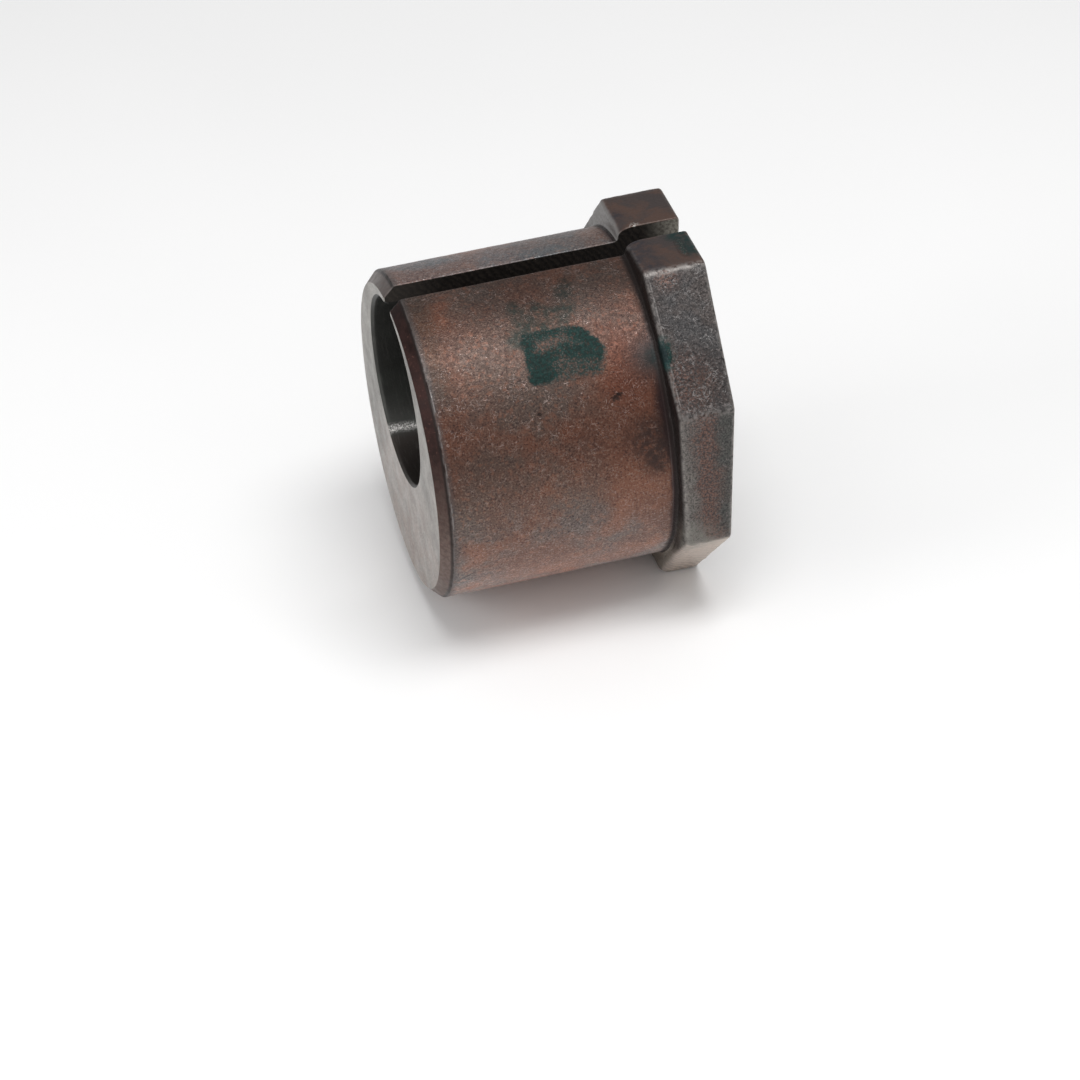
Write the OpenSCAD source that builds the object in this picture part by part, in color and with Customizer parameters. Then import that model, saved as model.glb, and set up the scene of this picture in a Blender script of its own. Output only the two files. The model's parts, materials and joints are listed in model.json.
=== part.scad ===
// One-piece split eccentric sleeve bushing. A plain sleeve carries an octagonal flange. The bore sits off
// centre and leans, and one slit lets a clamp squeeze the whole length on to a stud.
// The sleeve lies along X: its free end points to -X, and the flange is at +X. The slit is on top, at +Z.
// The origin is where the sleeve's own axis meets the front of the flange.

/* [Sleeve] */
// Outside diameter of the sleeve
sleeve_d = 35.2; // [29:0.1:50]
// Length of the sleeve, from its free end to the flange
sleeve_length = 25.2; // [18:0.1:60]
// Bevel round the outside of the free end
end_bevel = 1.2; // [0.3:0.1:1.5]
// Radius of the fillet where the sleeve meets the flange
shoulder_fillet = 0.5; // [0.2:0.1:0.6]

/* [Bore] */
// Diameter of the stud bore
bore_d = 20; // [12:0.1:24]
// Wall left between the bore and the sleeve at the free end, on the side with the slit
slit_side_wall = 1.95; // [1.9:0.05:4]
// Lean of the bore from the sleeve's own direction, in degrees; the back of the flange leans with it
bore_lean = 3.6; // [0:0.1:5]
// Broken edge at both mouths of the bore
mouth_bevel = 0.3; // [0.1:0.1:0.4]

/* [Slit] */
// Width of the clamping slit
slit_width = 2.75; // [1:0.05:5]

/* [Flange] */
// Height of the octagon's flats over the sleeve
flange_step = 1.4; // [1.15:0.05:6]
// Thickness of the flange, measured on the sleeve's axis
flange_thickness = 5.6; // [4:0.1:12]
// Bevel along the octagon's front and back edges
flange_bevel = 0.5; // [0.2:0.1:0.6]
// How far the octagon's corners are cut back
corner_cut = 0.15; // [0.1:0.05:0.6]

/* [Marking paint] */
// Thickness of the paint film
paint_film = 0.05; // [0.02:0.01:0.1]
// Length of the dab on the sleeve, along the sleeve
sleeve_dab_length = 9.4; // [3:0.1:14]
// Width of the dab on the sleeve, round the sleeve
sleeve_dab_width = 6.4; // [2:0.1:10]
// Distance from the flange to the dab on the sleeve
sleeve_dab_gap = 4.7; // [1:0.1:8]
// Turn from the slit to the middle of the dab on the sleeve, in degrees
sleeve_dab_turn = 39.5; // [25:0.5:180]
// Length of the dab on the side flat, along the flat's front edge
side_dab_length = 3.6; // [1:0.1:6]
// Width of the dab on the side flat
side_dab_width = 1.8; // [0.8:0.1:2.4]
// Shift of the dab on the side flat from the flat's middle, away from the slit
side_dab_shift = 0.85; // [-2:0.05:3]
// Length of the dab on the top flat, beside the slit
top_dab_length = 4.6; // [1:0.1:5]
// Width of the dab on the top flat
top_dab_width = 1.6; // [0.8:0.1:3]

/* [Hidden] */
$fn = 96;
sides = 8;
half_side = 180 / sides;
sleeve_r = sleeve_d / 2;
bore_r = bore_d / 2;
bore_offset = sleeve_r - bore_r - slit_side_wall;
bore_offset_behind = bore_offset * cos(bore_lean) - (sleeve_length + flange_thickness) * sin(bore_lean);
across_flats = sleeve_d + 2 * flange_step;
flat_height = across_flats / 2;
across_corners = across_flats / cos(half_side);
flat_width = across_flats * tan(half_side);
flange_back_top = flange_thickness + flat_height * tan(bore_lean);
bore_length = sleeve_length + flange_back_top;
over = 5;
dab_corner = 0.6;
top_dab_gap = 0.8;
brown_metal = [0.43, 0.30, 0.26];
marking_green = [0.05, 0.24, 0.24];

// A round bar along X that starts at the origin
module bar_x(d, length) {
    rotate([0, 90, 0])
        cylinder(d = d, h = length);
}

// A cone along X: diameter start_d at the origin and end_d at the other end
module cone_x(start_d, end_d, length) {
    rotate([0, 90, 0])
        cylinder(d1 = start_d, d2 = end_d, h = length);
}

// Places its children on the back of the flange, with X square to that face
module on_flange_back() {
    translate([flange_thickness, 0, 0])
        rotate([0, bore_lean, 0])
            children();
}

// Eight wedges that bevel the edges of an octagon whose face is at x = 0 and whose body is at x > 0
module octagon_bevels(apothem) {
    wedge = 2 * flange_bevel;
    for (side = [0 : sides - 1])
        rotate([side * 360 / sides, 0, 0])
            translate([0, 0, apothem - flange_bevel])
                rotate([0, -45, 0])
                    translate([-wedge, -flat_width, 0])
                        cube([2 * wedge, 2 * flat_width, wedge]);
}

// An octagonal bar along X with a flat on top when turn is half a side, or a corner on top when turn is 0
module octagon_x(corners, turn, length) {
    rotate([0, 90, 0])
        rotate([0, 0, turn])
            cylinder(d = corners, h = length, $fn = sides);
}

// Octagonal plate: square to the sleeve in front, square to the bore behind
module flange() {
    difference() {
        intersection() {
            octagon_x(across_corners, half_side, flange_back_top + over);
            octagon_x((across_corners - 2 * corner_cut) / cos(half_side), 0, flange_back_top + over);
        }
        on_flange_back()
            translate([0, -across_flats, -across_flats])
                cube([across_flats, 2 * across_flats, 2 * across_flats]);
        octagon_bevels(flat_height);
        on_flange_back()
            mirror([1, 0, 0])
                octagon_bevels(flat_height);
    }
}

// Ring of metal that fills the corner between the sleeve and the flange
module fillet_ring() {
    rotate([0, -90, 0])
        rotate_extrude()
            difference() {
                translate([sleeve_r - over, 0])
                    square([over + shoulder_fillet, shoulder_fillet]);
                translate([sleeve_r + shoulder_fillet, shoulder_fillet])
                    circle(r = shoulder_fillet);
            }
}

// The outside of the bushing, before the bore and the slit are cut
module blank() {
    translate([-sleeve_length, 0, 0])
        cone_x(sleeve_d - 2 * end_bevel, sleeve_d, end_bevel);
    translate([end_bevel - sleeve_length, 0, 0])
        bar_x(sleeve_d, sleeve_length - end_bevel + flange_thickness / 2);
    fillet_ring();
    flange();
}

// A cone that breaks the edge of a bore whose mouth is at the origin and which runs along X
module mouth_cone() {
    translate([-1, 0, 0])
        cone_x(bore_d + 2 * (mouth_bevel + 1), bore_d - 2, mouth_bevel + 2);
}

// The leaning stud bore, with its edges broken at both mouths
module bore() {
    translate([-sleeve_length, 0, bore_offset]) {
        rotate([0, bore_lean, 0])
            translate([-over, 0, 0])
                bar_x(bore_d, bore_length + 2 * over);
        mouth_cone();
    }
    on_flange_back()
        translate([0, 0, bore_offset_behind])
            mirror([1, 0, 0])
                mouth_cone();
}

// The saw cut that runs from the bore out through the top
module slit() {
    translate([-sleeve_length - over, -slit_width / 2, 0])
        cube([bore_length + 2 * over, slit_width, across_corners]);
}

module split_sleeve() {
    color(brown_metal)
        difference() {
            blank();
            bore();
            slit();
        }
}

// Outline of a dab of paint: a rectangle with round corners, centred on the origin
module dab_outline(length, width) {
    square([length, width - 2 * dab_corner], center = true);
    square([length - 2 * dab_corner, width], center = true);
    for (along = [-1, 1], across = [-1, 1])
        translate([along * (length / 2 - dab_corner), across * (width / 2 - dab_corner)])
            circle(r = dab_corner);
}

module sleeve_paint_dab() {
    color(marking_green)
        intersection() {
            difference() {
                translate([-sleeve_length, 0, 0])
                    bar_x(sleeve_d + 2 * paint_film, sleeve_length);
                translate([-sleeve_length - over, 0, 0])
                    bar_x(sleeve_d, sleeve_length + 2 * over);
            }
            rotate([sleeve_dab_turn, 0, 0])
                translate([-sleeve_dab_gap - sleeve_dab_length / 2, 0, 0])
                    linear_extrude(sleeve_d)
                        dab_outline(sleeve_dab_length, sleeve_dab_width);
        }
}

module flange_side_paint_dab() {
    color(marking_green)
        rotate([360 / sides, 0, 0])
            translate([flange_bevel + side_dab_width / 2, -side_dab_shift, flat_height])
                linear_extrude(paint_film)
                    dab_outline(side_dab_width, side_dab_length);
}

module flange_top_paint_dab() {
    color(marking_green)
        translate([
            flange_back_top - 2 * flange_bevel - top_dab_width / 2,
            -slit_width / 2 - top_dab_gap - top_dab_length / 2,
            flat_height
        ])
            linear_extrude(paint_film)
                dab_outline(top_dab_width, top_dab_length);
}

split_sleeve();
sleeve_paint_dab();
flange_side_paint_dab();
flange_top_paint_dab();
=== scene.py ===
"""Split eccentric sleeve bushing: the finished surfaces of its metal and of its marking paint.

The sleeve lies along X, with its free end towards -X, the flange at +X and the slit on top. Lengths are in
metres. A turn is an angle round the sleeve's axis, from the slit towards the front of the scene (-Y).
"""

import json
import math

import bpy
import numpy as np
from bpy.props import FloatProperty, FloatVectorProperty, PointerProperty
from bpy.types import Operator, Panel, PropertyGroup
from mathutils import Matrix, Vector


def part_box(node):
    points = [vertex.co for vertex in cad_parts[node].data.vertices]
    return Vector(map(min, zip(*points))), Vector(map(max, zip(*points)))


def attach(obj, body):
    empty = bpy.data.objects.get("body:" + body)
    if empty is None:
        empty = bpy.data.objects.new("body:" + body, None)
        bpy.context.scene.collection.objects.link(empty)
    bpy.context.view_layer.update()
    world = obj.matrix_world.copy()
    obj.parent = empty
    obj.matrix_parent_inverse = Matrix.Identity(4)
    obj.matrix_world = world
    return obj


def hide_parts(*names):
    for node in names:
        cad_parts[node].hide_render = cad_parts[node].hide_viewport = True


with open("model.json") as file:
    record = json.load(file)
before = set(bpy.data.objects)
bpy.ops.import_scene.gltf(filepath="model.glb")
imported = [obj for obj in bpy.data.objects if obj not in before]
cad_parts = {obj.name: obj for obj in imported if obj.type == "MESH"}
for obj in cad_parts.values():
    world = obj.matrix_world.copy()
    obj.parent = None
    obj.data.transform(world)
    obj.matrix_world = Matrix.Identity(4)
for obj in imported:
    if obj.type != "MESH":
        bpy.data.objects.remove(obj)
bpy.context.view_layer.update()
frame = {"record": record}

bl_info = {
    "name": "Split Sleeve Bushing",
    "version": (1, 0, 0),
    "blender": (4, 5, 0),
    "location": "View3D > Sidebar > Bushing",
    "description": "Builds a split eccentric sleeve bushing with an octagonal wrench flange",
    "category": "Add Mesh",
}

MM = 0.001

METAL_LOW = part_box("split_sleeve")[0]
MOUNTS = {mount["name"]: mount for mount in frame["record"]["mounts"]}
SLEEVE_RADIUS = MOUNTS["sleeve_outside"]["dims"]["r_mm"] * MM
SLEEVE_LENGTH = -METAL_LOW.x
FLAT_HEIGHT = -METAL_LOW.z
BORE_RADIUS = MOUNTS["stud_bore"]["dims"]["r_mm"] * MM
BORE_AXIS = np.array(MOUNTS["stud_bore"]["axis"])
BORE_POINT = np.array(MOUNTS["stud_bore"]["pos_m"])
BACK_POINT = np.array(MOUNTS["flange_back"]["pos_m"])
SIDES = 8
HALF_SIDE = math.pi / SIDES
MACHINED, BEVELLED, SLEEVE, FLANGE, BORED, SAWN = range(6)
RELIEF_ROOM = 0.055 * MM


# ---------------------------------------------------------------- sizes and colours that a user would change

class SleeveSettings(PropertyGroup):
    """Edges, surface and colours of the metal part."""

    slit_width: FloatProperty(
        name="Slit width", description="Width of the saw cut", default=2.75 * MM, unit="LENGTH"
    )
    end_bevel: FloatProperty(
        name="End bevel", description="Bevel round the free end", default=1.2 * MM, unit="LENGTH"
    )
    mouth_bevel: FloatProperty(
        name="Mouth bevel", description="Broken edge at the bore's mouths", default=0.3 * MM, unit="LENGTH"
    )
    shoulder_fillet: FloatProperty(
        name="Shoulder fillet", description="Fillet at the flange", default=0.5 * MM, unit="LENGTH"
    )
    flange_edge: FloatProperty(
        name="Flange edge", description="Rounding of the octagon's front and back edges",
        default=0.5 * MM, unit="LENGTH"
    )
    lower_flange_edge: FloatProperty(
        name="Lower flange edge", description="Rounding of the octagon's front edge on its lower side",
        default=1.25 * MM, unit="LENGTH"
    )
    corner_radius: FloatProperty(
        name="Corner radius", description="Radius of the octagon's corners", default=1.0 * MM, unit="LENGTH"
    )
    slit_edge: FloatProperty(
        name="Slit edge", description="Rounding along the slit's edges", default=0.12 * MM, unit="LENGTH"
    )
    skin_colour: FloatVectorProperty(
        name="Skin", description="Copper-brown skin of the sleeve", subtype="COLOR",
        size=3, min=0, max=1, default=(0.098, 0.045, 0.031)
    )
    grey_colour: FloatVectorProperty(
        name="Worn skin", description="Grey-brown where the skin is thin", subtype="COLOR",
        size=3, min=0, max=1, default=(0.082, 0.058, 0.048)
    )
    rust_colour: FloatVectorProperty(
        name="Orange patches", description="Orange-brown patches in the skin", subtype="COLOR",
        size=3, min=0, max=1, default=(0.150, 0.056, 0.032)
    )
    dark_colour: FloatVectorProperty(
        name="Heat tint", description="Dark violet tint beside the flange and in recesses", subtype="COLOR",
        size=3, min=0, max=1, default=(0.020, 0.010, 0.012)
    )
    bare_colour: FloatVectorProperty(
        name="Bare metal", description="Bare machined metal", subtype="COLOR",
        size=3, min=0, max=1, default=(0.40, 0.375, 0.355)
    )


class PaintSettings(PropertyGroup):
    """The worn dabs of marking paint."""

    film: FloatProperty(
        name="Film", description="Thickness of the paint at its thickest", default=0.045 * MM, unit="LENGTH"
    )
    colour: FloatVectorProperty(
        name="Paint", description="Blue-green marking paint", subtype="COLOR",
        size=3, min=0, max=1, default=(0.005, 0.031, 0.027)
    )


class StudioSettings(PropertyGroup):
    """Floor, light and camera."""

    floor_colour: FloatVectorProperty(
        name="Floor", description="Colour of the plain floor", subtype="COLOR",
        size=3, min=0, max=1, default=(0.97, 0.97, 0.97)
    )
    key_power: FloatProperty(
        name="Overhead light", description="Power of the overhead soft light", default=0.90, unit="POWER"
    )
    side_power: FloatProperty(
        name="Side light", description="Power of the light beside the free end", default=0.45, unit="POWER"
    )
    front_power: FloatProperty(
        name="Front light", description="Power of the soft light at the front", default=0.14, unit="POWER"
    )
    world_strength: FloatProperty(
        name="Room light", description="Strength of the even light from all round", default=0.45
    )
    lens: FloatProperty(
        name="Lens", description="Focal length of the camera in millimetres", default=137.57
    )


# ---------------------------------------------------------------- numbers shared by the surfaces

def ripple(points, wavelength, seed, waves=28):
    """Smooth random field, about -1 to 1: a sum of sine waves in random directions."""
    chance = np.random.default_rng(seed)
    directions = chance.normal(size=(waves, 3))
    directions /= np.linalg.norm(directions, axis=1, keepdims=True)
    lengths = wavelength * chance.uniform(0.7, 1.7, size=(waves, 1))
    starts = chance.uniform(0, math.tau, size=waves)
    return np.sin(points @ (directions / lengths).T * math.tau + starts).sum(axis=-1) / math.sqrt(waves)


def smooth_step(value, low, high):
    """0 below low, 1 above high, and a smooth cubic between them."""
    share = np.clip((value - low) / (high - low), 0, 1)
    return share * share * (3 - 2 * share)


def unit(vectors):
    """Each vector divided by its length."""
    return vectors / np.linalg.norm(vectors, axis=-1, keepdims=True)


def sleeve_point(x, turn, radius):
    """The point at distance radius from the sleeve's axis, at that turn from the slit."""
    x, turn, radius = np.broadcast_arrays(x, turn, radius)
    return np.stack([x, -radius * np.sin(turn), radius * np.cos(turn)], axis=-1)


# ---------------------------------------------------------------- the metal part

SLIT_ZONE = math.radians(8)
OUTER_FADE = math.radians(20)
BORE_FADE = math.radians(95)
# Each pit: x and size in mm, turn in degrees, depth in mm
PITS = ((-5.2, 0.32, 57.7, 0.10), (-13.4, 0.22, 58.0, 0.05), (-20.6, 0.50, 20.0, 0.04))


def column_turns(settings):
    """Turns of the columns, from one wall of the slit round to the other.

    They are close beside the slit and at the octagon's corners, about 0.7 degrees apart on the front half and
    1.3 degrees apart on the back half.
    """
    from_wall = np.array([0, 0.02, 0.05, 0.09, 0.14, 0.22, 0.34, 0.5]) * MM
    beside = np.degrees(np.arcsin((settings.slit_width / 2 + from_wall) / SLEEVE_RADIUS))
    front = np.arange(6.8, 150, 0.7)
    back = np.arange(150, 353.4, 1.3)
    corners = np.degrees(HALF_SIDE) + 45 * np.arange(SIDES)
    offsets = np.array([-2.4, -1.7, -1.1, -0.6, -0.2, 0.2, 0.6, 1.1, 1.7, 2.4])
    fixed = np.concatenate([beside, 360 - beside, (corners[:, None] + offsets).ravel()])
    loose = np.concatenate([front, back])
    gap = np.abs(loose[:, None] - fixed[None, :]).min(axis=1)
    return np.radians(np.sort(np.concatenate([fixed, loose[gap > 0.3]])))


def turns_beside_slit(turns, fade, turn_at):
    """Turns shifted so that the columns next to the slit lie in planes parallel to its walls.

    turn_at gives the turn at which a ring is a given distance from the slit's middle plane. The shift is kept
    as it is past the slit zone and fades out smoothly by the turn called fade.
    """
    signed = (turns + math.pi) % math.tau - math.pi
    held = np.clip(signed, -SLIT_ZONE, SLIT_ZONE)
    shift = turn_at(SLEEVE_RADIUS * np.sin(held)) - held
    return turns + shift * (1 - smooth_step(np.abs(signed), SLIT_ZONE, fade))


def circle_ring(turns, x, radius):
    """Ring on the sleeve's axis."""
    shifted = turns_beside_slit(turns, OUTER_FADE, lambda across: np.arcsin(across / radius))
    return sleeve_point(x, shifted, radius)


def octagon_radius(turns, corner_radius):
    """Distance from the axis to an octagon that has a flat on top and arcs of corner_radius for corners.

    On a flat it is the flat's height over the cosine of the angle from the flat's middle. Round a corner it
    is the far crossing of a ray with the corner's circle.
    """
    inner = (FLAT_HEIGHT - corner_radius) / math.cos(HALF_SIDE)
    arc_start = math.atan((FLAT_HEIGHT - corner_radius) * math.tan(HALF_SIDE) / FLAT_HEIGHT)
    from_flat = (turns + HALF_SIDE) % (2 * HALF_SIDE) - HALF_SIDE
    from_corner = HALF_SIDE - np.abs(from_flat)
    flat = FLAT_HEIGHT / np.cos(from_flat)
    half_chord = np.sqrt(np.maximum(corner_radius**2 - (inner * np.sin(from_corner)) ** 2, 0))
    arc = inner * np.cos(from_corner) + half_chord
    return np.where(np.abs(from_flat) < arc_start, flat, arc)


def octagon_ring(turns, corner_radius, back=False):
    """Ring round the octagon: at x = 0, or on the leaning plane of the flange's back."""
    shifted = turns_beside_slit(turns, OUTER_FADE, lambda across: np.arctan(across / FLAT_HEIGHT))
    ring = sleeve_point(0.0, shifted, octagon_radius(shifted, corner_radius))
    if back:
        ring[:, 0] = (BACK_POINT @ BORE_AXIS - ring[:, 2] * BORE_AXIS[2]) / BORE_AXIS[0]
    return ring


def bore_ring(turns, radius, along=None, x=None):
    """Ring round the bore's leaning axis, at a distance along it from BORE_POINT or cut off at one x."""
    shifted = turns_beside_slit(turns, BORE_FADE, lambda across: np.arcsin(across / radius))
    up = np.array([-BORE_AXIS[2], 0, BORE_AXIS[0]])
    ring = -np.sin(shifted)[:, None] * np.array([0, 1, 0]) * radius + np.cos(shifted)[:, None] * up * radius
    ring += BORE_POINT
    if along is None:
        along = (x - ring[:, 0]) / BORE_AXIS[0]
    return ring + np.broadcast_to(along, turns.shape)[:, None] * BORE_AXIS


def mouth_ring(turns, radius):
    """Ring in the plane of the free end, centred where the bore's axis meets that plane."""
    shifted = turns_beside_slit(turns, BORE_FADE, lambda across: np.arcsin(across / radius))
    ring = sleeve_point(METAL_LOW.x, shifted, radius)
    ring[:, 2] += BORE_POINT[2] + (METAL_LOW.x - BORE_POINT[0]) * BORE_AXIS[2] / BORE_AXIS[0]
    return ring


def corner_rings(turns, s):
    """The sharp corners of the wall's closed outline, in order round it.

    Each is (ring, reach of its rounding, rows in the rounding, rows to the next corner, finish of the strip
    that follows, wear of the edge).
    """
    to_back = (BACK_POINT - BORE_POINT) @ BORE_AXIS
    wide = BORE_RADIUS + s.mouth_bevel
    from_top = np.abs((turns + math.pi) % math.tau - math.pi)
    lower_share = smooth_step(from_top, math.radians(70), math.radians(135))
    front_edge = s.flange_edge + (s.lower_flange_edge - s.flange_edge) * lower_share
    return [
        (mouth_ring(turns, wide), 0.04 * MM, 3, 10, MACHINED, 0.8),
        (circle_ring(turns, METAL_LOW.x, SLEEVE_RADIUS - s.end_bevel), 0.06 * MM, 4, 6, BEVELLED, 0.3),
        (circle_ring(turns, METAL_LOW.x + s.end_bevel, SLEEVE_RADIUS), 0.16 * MM, 5, 60, SLEEVE, 0.45),
        (circle_ring(turns, 0.0, SLEEVE_RADIUS), s.shoulder_fillet, 7, 3, FLANGE, 0.0),
        (octagon_ring(turns, s.corner_radius), front_edge, 7, 20, FLANGE, 0.55),
        (octagon_ring(turns, s.corner_radius, back=True), s.flange_edge, 7, 10, MACHINED, 0.5),
        (bore_ring(turns, wide, along=to_back), 0.04 * MM, 3, 1, BORED, 0.6),
        (bore_ring(turns, BORE_RADIUS, along=to_back - s.mouth_bevel), 0.06 * MM, 3, 44, BORED, 0.4),
        (bore_ring(turns, BORE_RADIUS, x=METAL_LOW.x + s.mouth_bevel), 0.06 * MM, 3, 1, BORED, 0.4),
    ]


def wall_rows(corners):
    """Rings of points round the wall's closed outline, with the finish and the wear of each.

    A corner's rounding is a parabola. It starts and ends at the given reach from the corner, and the corner
    is its middle control point. Between two roundings the surface is ruled, with its rows closer at the ends.
    """
    rings, finishes, wears = [], [], []
    count = len(corners)
    for index, (ring, reach, arc_rows, rows, finish, wear) in enumerate(corners):
        before = corners[index - 1]
        after = corners[(index + 1) % count]
        start = ring + unit(before[0] - ring) * np.reshape(reach, (-1, 1))
        end = ring + unit(after[0] - ring) * np.reshape(reach, (-1, 1))
        share = np.linspace(0, 1, arc_rows)[:, None, None]
        arc = (1 - share) ** 2 * start + 2 * share * (1 - share) * ring + share**2 * end
        rings.extend(arc)
        half = arc_rows // 2
        finishes.extend([before[4]] * half + [finish] * (arc_rows - half))
        wears.extend(wear * np.sin(math.pi * share.ravel()) ** 2)
        next_start = after[0] + unit(ring - after[0]) * np.reshape(after[1], (-1, 1))
        even = np.linspace(0, 1, rows + 2)[1:-1]
        shares = 0.45 * even + 0.55 * smooth_step(even, 0, 1)
        rings.extend(end + share * (next_start - end) for share in shares)
        finishes.extend([finish] * rows)
        wears.extend(np.zeros(rows))
    return np.array(rings), np.array(finishes), np.array(wears)


def grid_normals(points):
    """Outward unit normals of a grid whose rows close up: rows step crossed with column steps."""
    along_rows = np.roll(points, -1, axis=0) - np.roll(points, 1, axis=0)
    along_columns = np.gradient(points, axis=1)
    return unit(np.cross(along_columns, along_rows))


def pit(points, centre, size, depth):
    """Depth of a small round pit: a bell curve of the distance from its centre."""
    return depth * np.exp(-((np.linalg.norm(points - centre, axis=-1) / size) ** 2))


def metal_relief(points, finishes):
    """How far the metal stands out from its plain shape: slight waves, a coarser skin on flats, and pits."""
    on_sleeve = (finishes == SLEEVE) * 1.0
    on_flange = (finishes == FLANGE) * 1.0
    turn = np.arctan2(-points[..., 1], points[..., 2])
    rough_flat = on_flange * (1 - 0.8 * (np.abs(turn) < HALF_SIDE))
    relief = 0.005 * MM * on_sleeve * ripple(points, 2.2 * MM, 3)
    relief += 0.010 * MM * on_sleeve * ripple(points, 7 * MM, 4)
    relief += 0.012 * MM * rough_flat * ripple(points, 0.9 * MM, 5)
    relief += 0.022 * MM * rough_flat * ripple(points, 2.6 * MM, 6)
    for x, size, pit_turn, depth in PITS:
        centre = sleeve_point(x * MM, math.radians(pit_turn), SLEEVE_RADIUS)
        relief -= pit(points, centre, size * MM, depth * MM)
    return relief


def slit_edge_drop(turns, settings):
    """How far the surface falls towards the slit's walls: a quarter circle of the slit edge's radius."""
    reach = np.abs(SLEEVE_RADIUS * np.sin(turns))
    reach = np.where(np.cos(turns) > 0, reach - settings.slit_width / 2, 1.0)
    inside = 1 - np.clip(reach / settings.slit_edge, 0, 1)
    return settings.slit_edge * (1 - np.sqrt(1 - inside**2))


def slit_corner_drop(points, settings):
    """How far the flange's front corners beside the slit are worn down.

    It is a quarter ellipse of the distance from the front, faded out away from the slit and towards the
    sleeve.
    """
    depth, from_front, from_slit = 0.95 * MM, 1.9 * MM, 1.7 * MM
    to_front = np.clip(1 - points[..., 0] / from_front, 0, 1)
    beside = 1 - smooth_step(np.abs(points[..., 1]) - settings.slit_width / 2, 0, from_slit)
    raised = smooth_step(points[..., 2], SLEEVE_RADIUS + 0.2 * MM, FLAT_HEIGHT)
    return depth * (1 - np.sqrt(1 - to_front**2)) * beside * raised


def mesh_piece(name, vertices, faces, materials, face_materials=None, flat_faces=()):
    """A mesh object at the origin that rides on the root body, with smooth faces apart from flat_faces."""
    mesh = bpy.data.meshes.new(name)
    mesh.from_pydata(vertices, [], faces)
    for material in materials:
        mesh.materials.append(material)
    if face_materials is not None:
        mesh.polygons.foreach_set("material_index", face_materials)
    smooth = np.ones(len(mesh.polygons), dtype=bool)
    smooth[list(flat_faces)] = False
    mesh.polygons.foreach_set("use_smooth", smooth)
    if mesh.validate():
        raise RuntimeError(f"{name}: the mesh had faults")
    piece = bpy.data.objects.new(name, mesh)
    bpy.context.scene.collection.objects.link(piece)
    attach(piece, "root")
    return piece


def add_values(piece, name, values):
    """Stores one number per vertex for the materials to read."""
    layer = piece.data.attributes.new(name, "FLOAT", "POINT")
    layer.data.foreach_set("value", np.asarray(values, dtype=np.float32).ravel())


def grid_faces(rows, columns, close_rows):
    """Quads of a grid of vertices numbered row by row, where the last row may join the first."""
    row = np.arange(rows if close_rows else rows - 1)[:, None]
    column = np.arange(columns - 1)[None, :]
    below = (row + 1) % rows
    quads = [row * columns + column, row * columns + column + 1]
    quads += [below * columns + column + 1, below * columns + column]
    return np.stack(np.broadcast_arrays(*quads), axis=-1).reshape(-1, 4)


def build_metal(settings):
    """The metal part: the wall's closed outline carried from one wall of the slit round to the other.

    The two ends of the grid are flat faces, which are the slit's walls.
    """
    turns = column_turns(settings)
    points, finishes, wears = wall_rows(corner_rings(turns, settings))
    rows, columns = points.shape[:2]
    normals = grid_normals(points)
    move = metal_relief(points, finishes[:, None]) - slit_edge_drop(turns, settings)[None, :]
    points = points + normals * move[..., None]
    half_slit = settings.slit_width / 2
    points[..., 2] -= slit_corner_drop(points, settings)
    points[:, 0, 1] = -half_slit
    points[:, -1, 1] = half_slit

    from_corner = (turns[None, :] % (2 * HALF_SIDE)) - HALF_SIDE
    on_flange = (finishes == FLANGE)[:, None]
    strength = 0.3 + 0.55 * np.exp(-(((turns[None, :] - HALF_SIDE) / HALF_SIDE) ** 2))
    corner_wear = strength * on_flange * np.exp(-((from_corner / math.radians(1.1)) ** 2))
    slit_wear = 0.35 * np.exp(-(((np.abs(SLEEVE_RADIUS * np.sin(turns)) - half_slit) / (0.12 * MM)) ** 2))
    slit_wear = slit_wear * (np.cos(turns) > 0)
    wear = np.maximum(np.maximum(wears[:, None], corner_wear), slit_wear[None, :])

    quads = grid_faces(rows, columns, close_rows=True)
    faces = [list(quad) for quad in quads.tolist()]
    first_wall = (np.arange(rows) * columns).tolist()
    last_wall = (np.arange(rows) * columns + columns - 1).tolist()
    faces.append(first_wall)
    faces.append(last_wall[::-1])
    face_materials = np.concatenate([np.repeat(finishes, columns - 1), [SAWN, SAWN]]).astype(np.int32)

    piece = mesh_piece(
        "bushing_body", points.reshape(-1, 3).tolist(), faces, metal_materials(settings),
        face_materials, flat_faces=(len(faces) - 2, len(faces) - 1)
    )
    add_values(piece, "wear", wear)
    add_values(piece, "turn", np.broadcast_to(np.degrees(turns), (rows, columns)))
    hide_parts("split_sleeve")
    return piece


# ---------------------------------------------------------------- the marking paint

SLEEVE_DAB_TURN = math.radians(39.5)
SLEEVE_DAB_WIDTH = 6.4 * MM
UNDERSIDE_DEPTH = 0.03 * MM
RIM_SINK = 0.008 * MM


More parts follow.
